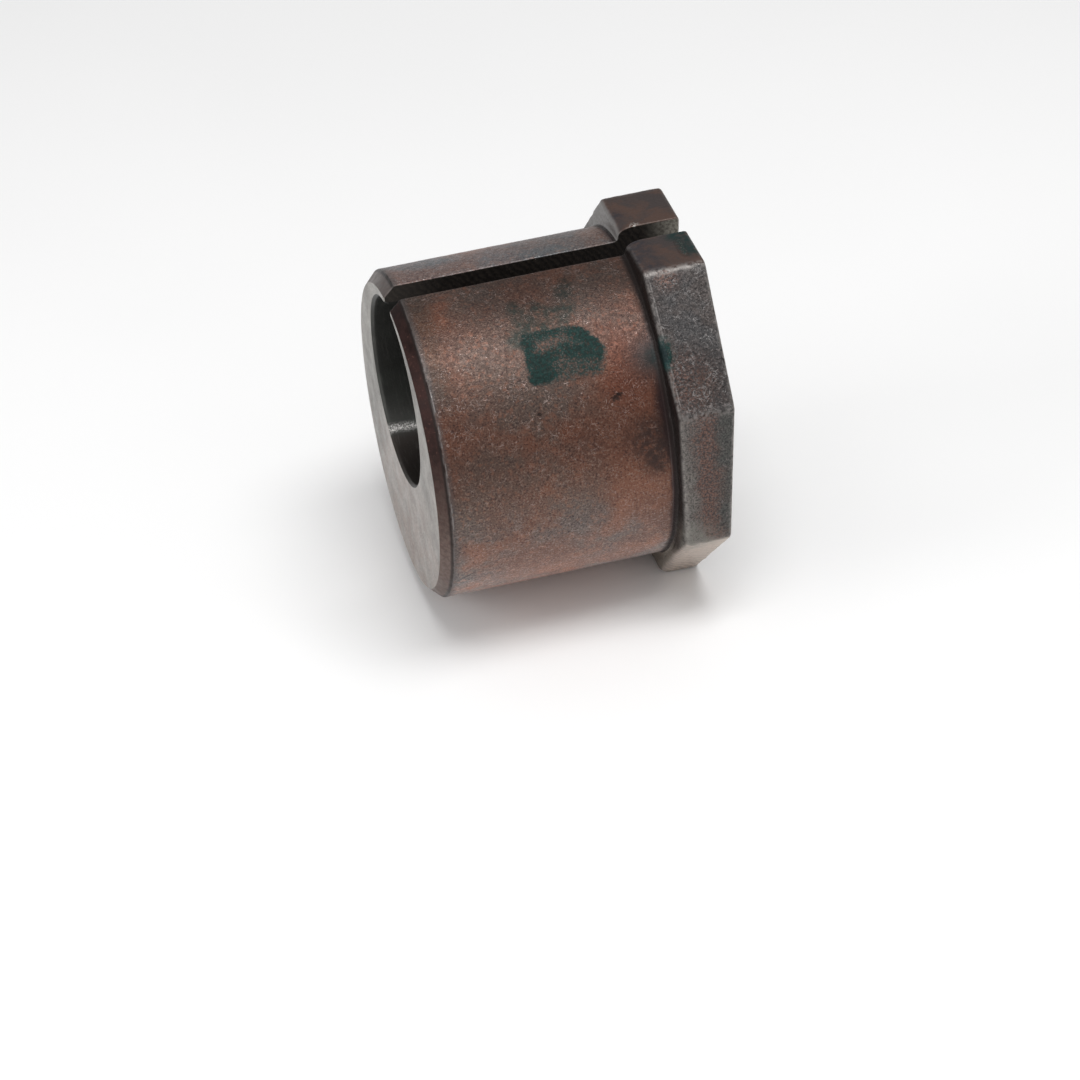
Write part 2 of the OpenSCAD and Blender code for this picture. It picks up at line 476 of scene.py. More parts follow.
def dab_shares(rings, spokes, seed, raggedness):
    """A polar grid over a dab: each point's place, from -1 to 1 both ways, and its share of the rim.

    The rim is a superellipse, r = (|cos|^7 + |sin|^7)^(-1/7), made ragged by a sum of sines of the angle.
    """
    chance = np.random.default_rng(seed)
    angle = np.linspace(0, math.tau, spokes, endpoint=False)
    orders = np.arange(2, 26)
    strengths = chance.normal(size=orders.size) / orders**0.75
    starts = chance.uniform(0, math.tau, orders.size)
    ragged = (strengths * np.sin(angle[:, None] * orders + starts)).sum(axis=1)
    ragged = 1 - raggedness * (ragged - ragged.min()) / np.ptp(ragged)
    squareness = 7
    powers = np.abs(np.cos(angle)) ** squareness + np.abs(np.sin(angle)) ** squareness
    rim = ragged * powers ** (-1 / squareness)
    share = (np.arange(1, rings + 1) / rings)[:, None]
    along = share * (rim * np.cos(angle))[None, :]
    across = share * (rim * np.sin(angle))[None, :]
    return along, across, np.broadcast_to(share, along.shape)


def sleeve_cover(along, across, share):
    """Paint left on the sleeve's dab.

    It is nearly full, rubbed thin at one spot and hazy away from the slit. Its right end slopes back towards
    the slit, and its sides are crisp apart from the hazy one.
    """
    rubbed = np.exp(-(((along + 0.28) / 0.34) ** 2) - ((across - 0.46) / 0.30) ** 2)
    haze_start = 0.02 - 0.34 * smooth_step(along, 0.2, 0.7)
    haze = smooth_step(haze_start - across, -0.16, 0.30) * smooth_step(along, -0.60, -0.20)
    ragged = 0.026 * ripple(np.stack([along, across, share], axis=-1), 0.20, 21)
    left = smooth_step(along + 0.06 * smooth_step(-across, -0.2, 0.8) + ragged, -1.05, -0.74)
    top = smooth_step(1.03 - across - 0.10 * smooth_step(along, -0.4, 0.6) + ragged, 0.0, 0.22)
    right_end = 0.95 - 0.42 * smooth_step(across, -0.1, 1.0) + ragged
    right = smooth_step(right_end - along, 0, 0.16 + 0.22 * haze)
    bottom_end = -0.98 - 0.10 * smooth_step(along, -0.7, 0.3)
    bottom = smooth_step(across + ragged, bottom_end, bottom_end + 0.24 + 0.16 * haze)
    inside = left * top * right * bottom * smooth_step(1 - share, 0, 0.06)
    return (0.95 - 0.55 * rubbed - 0.27 * haze) * inside


def side_cover(along, across, share):
    """Paint left on the side flat's dab: full at the flat's front edge."""
    ragged = 0.12 * ripple(np.stack([along, across, share], axis=-1), 0.5, 8)
    front = 1 - smooth_step(along + ragged, -0.72, 0.15)
    return front * (1 - smooth_step(np.abs(across + 0.05), 0.30, 0.92))


def top_cover(along, across, share):
    """Paint left on the top flat's dab: full towards the flange's back."""
    return 0.75 * smooth_step(along, -0.7, 0.8) * smooth_step(1 - share, 0, 0.6)


def build_dab(name, node, place, left, settings, material, seed, rings=44, spokes=160, raggedness=0.05):
    """A film of paint: a ragged polar grid laid on the metal, with its rim just below the metal.

    place turns the two shares across the dab into points on the metal, outward normals and the metal's
    relief. left gives the share of the paint that is left. The outside and the underside are the same grid,
    joined along the rim, and each is closed at the middle by a fan.
    """
    along, across, share = dab_shares(rings, spokes, seed, raggedness)
    along = np.vstack([[0.0], along.reshape(-1, 1)]).ravel()
    across = np.vstack([[0.0], across.reshape(-1, 1)]).ravel()
    share = np.concatenate([[0.0], share.ravel()])
    points, normals, relief = place(along, across)
    cover = left(along, across, share)
    height = settings.film * cover * (1 - share**4) * (0.85 + 0.15 * ripple(points, 0.8 * MM, seed))
    height = np.clip(height, 0, settings.film) - RIM_SINK * (1 - smooth_step(cover, 0, 0.12))
    under = points + normals * (relief - UNDERSIDE_DEPTH)[:, None]
    over = points + normals * (relief + height)[:, None]

    vertex = 1 + np.arange(rings * spokes).reshape(rings, spokes)
    follow = np.roll(vertex, -1, axis=1)
    fan = np.stack([np.zeros(spokes, int), vertex[0], follow[0]], axis=-1)
    quads = np.stack([vertex[:-1], vertex[1:], follow[1:], follow[:-1]], axis=-1).reshape(-1, 4)
    count = 1 + rings * spokes
    rim = np.stack([vertex[-1], vertex[-1] + count, follow[-1] + count, follow[-1]], axis=-1)
    faces = fan.tolist() + quads.tolist() + (fan[:, ::-1] + count).tolist()
    faces += (quads[:, ::-1] + count).tolist() + rim.tolist()
    rim_faces = range(len(faces) - spokes, len(faces))
    piece = mesh_piece(name, np.vstack([over, under]).tolist(), faces, [material], flat_faces=rim_faces)
    add_values(piece, "cover", np.concatenate([cover, cover]))
    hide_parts(node)
    return piece


def dab_on_sleeve(along, across):
    """Place on the sleeve: along runs with the axis, and across runs round the sleeve."""
    low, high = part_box("sleeve_paint_dab")
    x = (low.x + high.x) / 2 + along * (high.x - low.x) / 2
    turn = SLEEVE_DAB_TURN - across * SLEEVE_DAB_WIDTH / 2 / SLEEVE_RADIUS
    points = sleeve_point(x, turn, SLEEVE_RADIUS)
    normals = sleeve_point(0.0, turn, np.ones_like(turn))
    return points, normals, metal_relief(points, np.full(x.shape, SLEEVE))


def dab_on_flat(node, flat_turn):
    """Place on one of the octagon's flats: along runs with the axis, and across runs along the flat."""
    low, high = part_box(node)
    centre = (np.array(low) + np.array(high)) / 2
    outward = sleeve_point(0.0, flat_turn, 1.0)
    sideways = np.array([0, -math.cos(flat_turn), -math.sin(flat_turn)])
    half_width = float(np.hypot(high.y - low.y, high.z - low.z)) / 2 if flat_turn else (high.y - low.y) / 2

    def place(along, across):
        """Points of the flat at the height of the metal, with its normal."""
        points = centre + along[:, None] * np.array([(high.x - low.x) / 2, 0, 0])
        points = points + across[:, None] * half_width * sideways
        points = points + (FLAT_HEIGHT - points @ outward)[:, None] * outward
        normals = np.broadcast_to(outward, points.shape)
        return points, normals, metal_relief(points, np.full(along.shape, FLANGE))

    return place


# ---------------------------------------------------------------- looks

class Look:
    """The nodes of one material. Its methods return output sockets, and lengths inside are millimetres."""

    def __init__(self, name):
        self.material = bpy.data.materials.new(name)
        self.material.use_nodes = True
        self.tree = self.material.node_tree
        self.tree.nodes.clear()
        place = self.add("ShaderNodeTexCoord").outputs["Object"]
        scale = self.add("ShaderNodeMapping")
        scale.inputs["Scale"].default_value = (1 / MM,) * 3
        self.tree.links.new(place, scale.inputs["Vector"])
        self.place = scale.outputs["Vector"]
        split = self.add("ShaderNodeSeparateXYZ")
        self.tree.links.new(self.place, split.inputs[0])
        self.x, self.y, self.z = split.outputs

    @property
    def turn(self):
        """Turn round the sleeve's axis, in degrees from the slit."""
        return self.value("turn")

    def add(self, kind, **settings):
        """A new node with these settings."""
        node = self.tree.nodes.new(kind)
        for name, value in settings.items():
            setattr(node, name, value)
        return node

    def put(self, socket, value):
        """Links a socket, or sets a plain number or colour."""
        if isinstance(value, bpy.types.NodeSocket):
            self.tree.links.new(value, socket)
        elif hasattr(value, "__len__") and len(value) == 3 and socket.type == "RGBA":
            socket.default_value = (*value, 1)
        else:
            socket.default_value = value

    def value(self, name):
        """A number stored on the vertices."""
        return self.add("ShaderNodeAttribute", attribute_name=name).outputs["Fac"]

    def maths(self, operation, first, second=0, third=0):
        """One arithmetic step."""
        node = self.add("ShaderNodeMath", operation=operation)
        for socket, number in zip(node.inputs, (first, second, third)):
            self.put(socket, number)
        return node.outputs[0]

    def times(self, first, second):
        """first * second"""
        return self.maths("MULTIPLY", first, second)

    def plus(self, first, second):
        """first + second"""
        return self.maths("ADD", first, second)

    def scaled(self, value, factor, added):
        """value * factor + added"""
        return self.maths("MULTIPLY_ADD", value, factor, added)

    def stretched(self, stretch):
        """The place with each direction scaled, which draws a noise out along the others."""
        node = self.add("ShaderNodeMapping")
        node.inputs["Scale"].default_value = stretch
        self.put(node.inputs["Vector"], self.place)
        return node.outputs["Vector"]

    def distance(self, centre):
        """Distance from a centre."""
        node = self.add("ShaderNodeVectorMath", operation="DISTANCE")
        self.put(node.inputs[0], self.place)
        node.inputs[1].default_value = centre
        return node.outputs["Value"]

    def noise(self, size, detail=3, roughness=0.55, bend=0, place=None):
        """Cloudy noise whose largest lumps are about this size."""
        node = self.add("ShaderNodeTexNoise")
        self.put(node.inputs["Vector"], place or self.place)
        node.inputs["Scale"].default_value = 1 / size
        node.inputs["Detail"].default_value = detail
        node.inputs["Roughness"].default_value = roughness
        node.inputs["Distortion"].default_value = bend
        return node.outputs["Fac"]

    def between(self, value, low, high, start=0, end=1):
        """Goes smoothly from start, at low, to end, at high."""
        node = self.add("ShaderNodeMapRange", interpolation_type="SMOOTHSTEP")
        for socket, number in zip(node.inputs, (value, low, high, start, end)):
            self.put(socket, number)
        return node.outputs[0]

    def band(self, value, low, high, soft):
        """1 between low and high, and 0 outside, with soft sides."""
        rise = self.between(value, low - soft, low + soft)
        fall = self.between(value, high - soft, high + soft, 1, 0)
        return self.times(rise, fall)

    def lines(self, noise, width):
        """Thin curling lines where a noise passes its middle value."""
        distance = self.maths("ABSOLUTE", self.maths("SUBTRACT", noise, 0.5))
        return self.between(distance, 0, width, 1, 0)

    def patch(self, centre, size, soft=0.5):
        """1 near a centre, and 0 past size from it."""
        return self.between(self.distance(centre), size * (1 - soft), size * (1 + soft), 1, 0)

    def edge_wear(self, size, detail, low, high):
        """Wear along the edges, broken up by a noise of this size."""
        return self.times(self.value("wear"), self.between(self.noise(size, detail=detail), low, high))

    def mix(self, share, first, second, way="MIX"):
        """Two colours mixed by a share."""
        node = self.add("ShaderNodeMix", data_type="RGBA", blend_type=way)
        self.put(node.inputs["Factor"], share)
        self.put(node.inputs["A"], first)
        self.put(node.inputs["B"], second)
        return node.outputs["Result"]

    def layers(self, colour, *layers, way="MIX"):
        """A colour with others laid over it in turn, each given as (share, tone)."""
        for share, tone in layers:
            colour = self.mix(share, colour, tone, way)
        return colour

    def gains(self, colour, *regions):
        """A colour made lighter or darker by region, each given as (share, factors)."""
        return self.layers(colour, *regions, way="MULTIPLY")

    def stain(self, colour, spots, tone, strength):
        """Soft spots of another colour, each a (centre, size), broken up by a noise."""
        broken = self.between(self.noise(0.9, detail=5, roughness=0.72), 0.32, 0.60, 0.15, 1)
        for centre, size in spots:
            share = self.times(self.patch(centre, size, 0.7), strength)
            colour = self.mix(self.times(share, broken), colour, tone)
        return colour

    def bump(self, height, depth, before=None):
        """Relief in the shading: height 0 to 1 stands for a depth in metres."""
        node = self.add("ShaderNodeBump")
        node.inputs["Strength"].default_value = 1
        node.inputs["Distance"].default_value = depth
        self.put(node.inputs["Height"], height)
        if before is not None:
            self.put(node.inputs["Normal"], before)
        return node.outputs["Normal"]

    def shade(self, colour, roughness, normal, metallic, specular=0.5):
        """Ends the material in one Principled shader."""
        shader = self.add("ShaderNodeBsdfPrincipled")
        shader.inputs["Specular IOR Level"].default_value = specular
        self.put(shader.inputs["Base Color"], colour)
        self.put(shader.inputs["Roughness"], roughness)
        self.put(shader.inputs["Normal"], normal)
        self.put(shader.inputs["Metallic"], metallic)
        output = self.add("ShaderNodeOutputMaterial")
        self.tree.links.new(shader.outputs[0], output.inputs["Surface"])
        return self.material


# ---------------------------------------------------------------- finish of the sleeve
# A spot is (centre, size) in millimetres, on the frame's own axes. Turns are degrees from the slit.

NEAR_BLACK = (0.014, 0.009, 0.008)
PAINT_SMUDGE = (0.008, 0.022, 0.019)
SMUDGES = (
    ((-7.8, -5.1, 16.8), 0.9), ((-8.1, -7, 16.1), 1), ((-9.4, -7.4, 16), 0.9), ((-7.2, -3.9, 17.2), 0.7),
    ((-13.1, -5.9, 16.6), 0.9), ((-12.8, -7.5, 15.9), 1.1), ((-11.9, -8.8, 15.2), 1.2),
    ((-10.6, -8.6, 15.4), 0.9), ((-13.9, -9.2, 15), 1.2), ((-11, -6.6, 16.3), 1.2), ((-8.6, -8.6, 15.4), 0.8),
)
WARM_SPOTS = (((-3, -14.7, 9.7), 5), ((-2.9, -17.5, 1.6), 4))
GREY_SPOTS = (((-19.5, -16.9, 5), 3.6), ((-17.5, -10.5, 14.1), 4))
BROWN_SPOTS = (((-2.4, -16.9, 4.9), 2.4), ((-1.6, -17.4, 2.6), 1.8))
PIT_SPOTS = (((-5.35, -14.85, 9.45), 0.50), ((-4.85, -14.75, 9.65), 0.30), ((-13.4, -14.9, 9.3), 0.28))


def skin_colour(look, s):
    """Colour of the copper-brown skin: large grey and orange clouds, then fine dark and pale speckle."""
    clouds = look.noise(9, detail=4, bend=0.4)
    rust = look.noise(5, detail=5, roughness=0.6)
    colour = look.layers(
        s.skin_colour,
        (look.between(clouds, 0.36, 0.62), s.grey_colour),
        (look.between(rust, 0.48, 0.70, 0, 0.75), s.rust_colour),
    )
    for spots, strength, tone in ((WARM_SPOTS, 0.55, s.rust_colour), (GREY_SPOTS, 0.6, s.grey_colour)):
        for centre, size in spots:
            colour = look.mix(look.times(look.patch(centre, size, 0.7), strength), colour, tone)
    coarse = look.noise(0.55, detail=3, roughness=0.65)
    fine = look.noise(0.20, detail=2, roughness=0.6)
    return look.layers(
        colour,
        (look.between(coarse, 0.50, 0.68, 0, 0.55), (0.19, 0.084, 0.054)),
        (look.between(fine, 0.32, 0.46, 0.7, 0), s.dark_colour),
        (look.between(fine, 0.55, 0.68, 0, 0.6), (0.20, 0.135, 0.108)),
    )


def sleeve_colour(look, s):
    """The skin with the soft dark smudges round the dab on the sleeve."""
    return look.stain(skin_colour(look, s), SMUDGES, PAINT_SMUDGE, 0.80)


def skin_scratches(look):
    """Short curling scratches, in patches."""
    curls = look.lines(look.noise(0.75, detail=2, bend=0.8), 0.016)
    patches = look.between(look.noise(1.6, detail=3), 0.42, 0.58)
    return look.times(curls, patches)


def skin_grain(look):
    """Fine grain of the skin, as a bump."""
    return look.bump(look.noise(0.15, detail=2), 0.036 * MM)


def straight_line(look, centre, slope, length, width):
    """One straight scratch near a centre: a thin band of x + slope * y, kept close to the centre."""
    across = look.scaled(look.y, slope, look.x)
    middle = centre[0] + slope * centre[1]
    thin = look.band(across, middle - width, middle + width, width)
    return look.times(thin, look.patch(centre, length, 0.25))


def sleeve_painted_light(look, colour):
    """The skin with painted light: painted reflections make it lighter behind the slit and on the lower side,
    and it is darker at the slit and the free end.
    """
    turn, x = look.turn, look.x
    behind = look.between(turn, 255, 350)
    near_side = look.between(turn, 190, 235, 1, 0)
    free_end = look.times(look.between(x, -22.6, -20.6, 1, 0), look.between(turn, 40, 60, 1, 0))
    beside_slit = look.times(look.between(turn, 14, 34, 0.75, 0), look.between(x, -21, -15))
    return look.gains(
        colour,
        # Painted reflection: the skin lighter behind the slit.
        (behind, (1.9, 2.75, 3.5)),
        (look.times(behind, look.between(x, -14, -6, 0, 0.9)), (0.76, 0.80, 0.80)),
        (free_end, (0.62, 0.78, 0.84)),
        (beside_slit, (0.60, 0.62, 0.64)),
        # Painted reflection of the pale floor: the lower side lighter, in three overlapping bands.
        (look.times(look.between(turn, 75, 130), near_side), (2.2, 2.8, 3.2)),
        (look.times(look.between(turn, 114, 132), near_side), (1.75, 1.80, 1.85)),
        (look.band(turn, 76, 94, 6), (1.15, 1.17, 1.16)),
    )


def sleeve_marks(look, colour, scratches, s):
    """Pale scratches with painted glints in the highlight band, dark hairs, two straight grazes, a redder
    belt near the flange, and dark pits.
    """
    painted_glint_band = look.band(look.turn, 34, 62, 10)
    hairs = look.lines(look.noise(2.4, detail=1, bend=0.6), 0.005)
    hairs = look.times(hairs, look.between(look.noise(2), 0.48, 0.58, 0, 0.55))
    long_graze = straight_line(look, (-15.6, -5.3, 16.8), 1.35, 2.6, 0.05)
    end_graze = straight_line(look, (-22.7, -15.5, -8.3), 3, 1.2, 0.12)
    colour = look.layers(
        colour,
        # Pale scratches everywhere, stronger in the band of the overhead highlight: painted glints.
        (look.times(scratches, look.scaled(painted_glint_band, 0.35, 0.40)), (0.42, 0.33, 0.30)),
        (hairs, s.dark_colour),
        (look.times(look.plus(long_graze, end_graze), 0.8), NEAR_BLACK),
    )
    redder = look.times(look.band(look.turn, 30, 60, 8), look.between(look.x, -8, -4.5))
    colour = look.gains(colour, (redder, (0.88, 0.74, 0.70)))
    ragged = look.scaled(look.noise(0.22, detail=4, roughness=0.75), 3.2, -1.75)
    for centre, size in PIT_SPOTS:
        floor = look.plus(look.patch(centre, size, 0.8), ragged)
        colour = look.mix(look.between(floor, 0.4, 0.7, 0, 0.85), colour, NEAR_BLACK)
    return colour


def shoulder_tint_and_shade(look, colour, s):
    """The dark heat tint and the stains beside the flange, with a pale painted highlight ring and painted
    shade that makes the fillet in the corner near black.
    """
    turn, x = look.turn, look.x
    reach = look.scaled(look.band(turn, 56, 80, 9), 0.60, 0.42)
    wobble = look.scaled(look.noise(3, detail=4), 1.5, look.maths("DIVIDE", x, reach))
    tint = look.mix(look.between(turn, 35, 75), (0.022, 0.013, 0.011), s.dark_colour)
    colour = look.mix(look.between(wobble, -1.4, -0.05, 0, 0.93), colour, tint)
    colour = look.stain(colour, BROWN_SPOTS, (0.030, 0.018, 0.016), 0.85)
    slate = look.times(look.patch((-0.8, -12.7, 12.2), 2, 0.9), 0.85)
    colour = look.mix(slate, colour, (0.030, 0.031, 0.032))
    colour = look.stain(colour, (((-0.5, -12.9, 12), 0.9),), (0.006, 0.018, 0.018), 0.7)
    # A thin pale ring just before the fillet, stronger on the front and lower side: a painted highlight.
    ring = look.times(look.band(x, -0.60, -0.50, 0.05), look.between(turn, 50, 90, 0.05, 0.35))
    return look.layers(
        colour,
        (ring, (0.16, 0.135, 0.13)),
        # The fillet in the corner near black: painted shade.
        (look.between(x, -0.48, -0.30, 0, 0.9), NEAR_BLACK),
    )


def bevel_border(look, colour):
    """Worn edges, and pale broken painted glints and a grey rim where the sleeve meets its bevel."""
    # Pale broken dashes along the front of the sleeve's edge at the bevel: painted glints.
    painted_edge_glints = look.times(look.band(look.x, -23.92, -23.82, 0.05), look.band(look.turn, 36, 96, 8))
    painted_edge_glints = look.times(painted_edge_glints, look.between(look.noise(0.9, detail=4), 0.42, 0.58, 0, 0.8))
    return look.layers(
        colour,
        (look.edge_wear(1.1, 5, 0.36, 0.66), (0.24, 0.22, 0.215)),
        (painted_edge_glints, (0.42, 0.40, 0.39)),
        (look.between(look.x, -23.9, -23.2, 0.55, 0), (0.075, 0.070, 0.070)),
    )


def sleeve_skin(s):
    """Outside of the sleeve: worn copper-brown skin with painted light and shade, and a dark tint beside the
    flange.
    """
    look = Look("sleeve_skin")
    scratches = skin_scratches(look)
    colour = sleeve_painted_light(look, sleeve_colour(look, s))
    colour = sleeve_marks(look, colour, scratches, s)
    colour = bevel_border(look, shoulder_tint_and_shade(look, colour, s))
    rough = look.between(look.noise(0.5, detail=3), 0.3, 0.7, 0.36, 0.54)
    rough = look.maths("SUBTRACT", rough, look.times(scratches, 0.12))
    normal = look.bump(scratches, -0.014 * MM, skin_grain(look))
    return look.shade(colour, rough, normal, 0.7)


def bevel_skin(s):
    """The bevel round the free end: dark red-brown and a little glossy."""
    look = Look("bevel_skin")
    clouds = look.noise(1.4, detail=4, roughness=0.6)
    mottle = look.between(look.noise(0.5, detail=4, roughness=0.65), 0.36, 0.62, 0.45, 0.80)
    colour = look.layers(
        (0.016, 0.006, 0.005),
        (look.between(clouds, 0.35, 0.65), (0.032, 0.013, 0.011)),
        (look.times(look.between(look.turn, 55, 120), mottle), (0.19, 0.135, 0.115)),
        (look.times(look.between(look.turn, 262, 340), 0.6), (0.12, 0.112, 0.11)),
        (look.between(look.noise(0.3), 0.60, 0.72, 0, 0.3), (0.16, 0.075, 0.06)),
        (look.between(look.x, -24.36, -24.16, 0, 0.85), NEAR_BLACK),
        (look.edge_wear(1.1, 5, 0.36, 0.66), (0.22, 0.205, 0.20)),
    )
    rings = look.noise(0.2, detail=2, place=look.stretched((3, 0.5, 0.5)))
    rough = look.between(clouds, 0.3, 0.7, 0.34, 0.5)
    return look.shade(colour, rough, look.bump(rings, 0.015 * MM), 0.7, specular=0.35)


# ---------------------------------------------------------------- finish of the flange

CORNER_TURN = math.degrees(HALF_SIDE)
DARK_SPOTS = (((0.4, -4.5, 19), 2), ((0.8, -2, 18.8), 1.6), ((0.3, 4, 19), 1.2), ((1.5, -7.2, 19), 1.2))
GREEN_SPOTS = (
    ((6.6, -2.4, 18.9), 1.2), ((6.5, -3.8, 18.9), 1.3), ((6.4, -5.2, 18.9), 1.1), ((5.2, -2, 19), 1)
)
TEAL_SPOTS = (((0.35, -13.2, 13.6), 0.7), ((0.4, -14, 12.8), 0.8), ((0.3, -14.7, 12.1), 0.7))


def on_flat(look, number):
    """1 on one flat of the octagon. The slotted flat is number 0, and the numbers rise with the turn."""
    middle = 2 * CORNER_TURN * number
    return look.band(look.turn, middle - CORNER_TURN, middle + CORNER_TURN, 0.8)


def side_flat_colour(look, s):
    """Colour of the flange's side flats: grey-violet with orange-brown patches, pebbles and pale curls, and
    painted shade on the upper flat's lower part.
    """
    clouds = look.noise(3.2, detail=4, roughness=0.6, bend=0.5)
    middle = on_flat(look, 2)
    drift = look.scaled(look.noise(3.2, detail=5, roughness=0.65), 4.6, look.x)
    speckle = look.between(look.noise(0.26, detail=3, roughness=0.7), 0.36, 0.62)
    warm = look.plus(look.patch((2.3, -8.5, 18.3), 1.1, 0.8), look.patch((1.5, -16.4, 10.4), 3, 0.8))
    warm = look.plus(warm, look.times(middle, look.band(drift, 3.9, 6.4, 0.9)))
    colour = look.layers(
        (0.050, 0.043, 0.041),
        (look.between(clouds, 0.38, 0.6), (0.040, 0.039, 0.040)),
        (look.times(look.times(warm, speckle), 0.68), (0.135, 0.068, 0.050)),
        (look.times(middle, look.between(drift, 2.8, 4.8, 0.55, 0)), (0.150, 0.148, 0.138)),
        (look.times(middle, look.between(drift, 5.4, 7.6, 0, 0.6)), (0.050, 0.056, 0.052)),
    )
    grain = look.between(look.noise(0.20, detail=3, roughness=0.7), 0.36, 0.64)
    colour = look.gains(
        colour,
        (1, look.mix(grain, (0.50, 0.50, 0.50), (1.62, 1.58, 1.54))),
        # Painted shade: the lower part of the upper side flat darker.
        (look.band(look.turn, 48, 3 * CORNER_TURN, 5), (0.62, 0.58, 0.57)),
        (middle, (1.24, 1.18, 1.16)),
    )
    pebbles = look.noise(0.34, detail=3, roughness=0.62)
    curls = look.lines(look.noise(1, detail=3, bend=1), 0.022)
    curls = look.times(curls, look.between(look.noise(1.3, detail=3), 0.42, 0.6, 0.1, 0.7))
    return look.layers(
        colour,
        (look.between(pebbles, 0.54, 0.70, 0, 0.6), (0.19, 0.165, 0.16)),
        (look.between(pebbles, 0.30, 0.45, 0.75, 0), (0.016, 0.014, 0.014)),
        (look.times(curls, look.scaled(middle, -0.8, 1)), (0.26, 0.245, 0.24)),
    )


def top_flat_colour(look, s):
    """Colour of the slotted flat: smooth dark brown, violet towards the front, stained blue-green."""
    clouds = look.noise(3.2, detail=4, roughness=0.6, bend=0.5)
    colour = look.mix(look.between(clouds, 0.4, 0.62), (0.090, 0.052, 0.040), (0.056, 0.043, 0.041))
    colour = look.stain(colour, DARK_SPOTS, (0.028, 0.026, 0.033), 0.85)
    return look.stain(colour, GREEN_SPOTS, (0.005, 0.026, 0.025), 0.95)


def milled_colour(look):
    """Colour of one lower flat: bare metal with the curved marks of a milling cutter, and dark specks."""
    arcs = look.maths("SINE", look.times(look.distance((-6, -8, -22)), 9))
    specks = look.between(look.noise(0.5, detail=5, roughness=0.7), 0.56, 0.68, 0, 0.7)
    return look.layers(
        (0.66, 0.56, 0.49),
        (look.scaled(arcs, 0.28, 0.28), (0.36, 0.31, 0.265)),
        (specks, (0.17, 0.125, 0.10)),
    )


def flange_front(look, colour):
    """The flange's front face and bevel: painted shade with dark patina in the corner, lighter below and
    behind, a painted highlight on a lower front corner, and stains of paint.
    """
    # Near-black over the front face: painted shade with dark patina, lighter at the tooth behind the slit and
    # on the lower side.
    patina_and_shade = look.layers(
        NEAR_BLACK,
        (look.between(look.turn, 295, 325), (0.20, 0.19, 0.185)),
        (look.band(look.turn, 128, 250, 10), (0.22, 0.195, 0.165)),
    )
    colour = look.mix(look.between(look.x, 0.05, 0.38, 0.95, 0), colour, patina_and_shade)
    # Pale spot on the front corner between the middle and lower flats: a painted highlight.
    colour = look.stain(colour, (((0.9, -19, -7.9), 2.4),), (0.20, 0.195, 0.172), 0.7)
    colour = look.stain(colour, TEAL_SPOTS, (0.004, 0.034, 0.032), 0.95)
    return look.mix(look.patch((0.35, -13.9, 12.9), 0.95, 0.7), colour, (0.001, 0.011, 0.012))


def flange_skin(s):
    """The flange's front and flats: a smooth dark top flat, pebbled side flats, lighter worn edges and a
    painted highlight along one front edge.
    """
    look = Look("flange_skin")
    turn, soft = look.turn, 0.7
    first_half = look.between(turn, CORNER_TURN - soft, CORNER_TURN + soft, 1, 0)
    top = look.plus(first_half, look.between(turn, 360 - CORNER_TURN - soft, 360 - CORNER_TURN + soft))
    clouds = look.noise(4, detail=3)
    far_side = look.times(look.between(turn, 157, 158, 0, 0.5), look.between(clouds, 0.35, 0.6))
    wear = look.times(look.edge_wear(0.5, 3, 0.34, 0.58), look.scaled(top, -0.55, 1))
    # A pale broken line just behind the upper side flat's front edge: a painted highlight.
    painted_edge_highlight = look.times(look.band(look.x, 0.52, 0.60, 0.09), look.band(turn, 23, 66, 2))
    painted_edge_highlight = look.times(painted_edge_highlight, look.between(look.noise(0.8, detail=3), 0.36, 0.60, 0.1, 0.7))
    nick = look.times(look.patch((2, 1.45, 18.95), 0.55, 0.3), look.lines(look.noise(0.5), 0.035))
    colour = look.layers(
        side_flat_colour(look, s),
        (look.times(on_flat(look, 3), 0.86), milled_colour(look)),
        (far_side, (0.22, 0.20, 0.185)),
        (top, top_flat_colour(look, s)),
        (wear, (0.40, 0.37, 0.35)),
        (painted_edge_highlight, (0.30, 0.28, 0.27)),
        (nick, (0.55, 0.53, 0.50)),
    )
    pebbles = look.noise(0.34, detail=3, roughness=0.6)
    rough = look.between(pebbles, 0.3, 0.7, 0.42, 0.60)
    normal = look.bump(look.times(pebbles, look.scaled(top, -0.88, 1)), 0.10 * MM)
    return look.shade(flange_front(look, colour), rough, normal, 0.55)


# ---------------------------------------------------------------- finishes of the cut faces

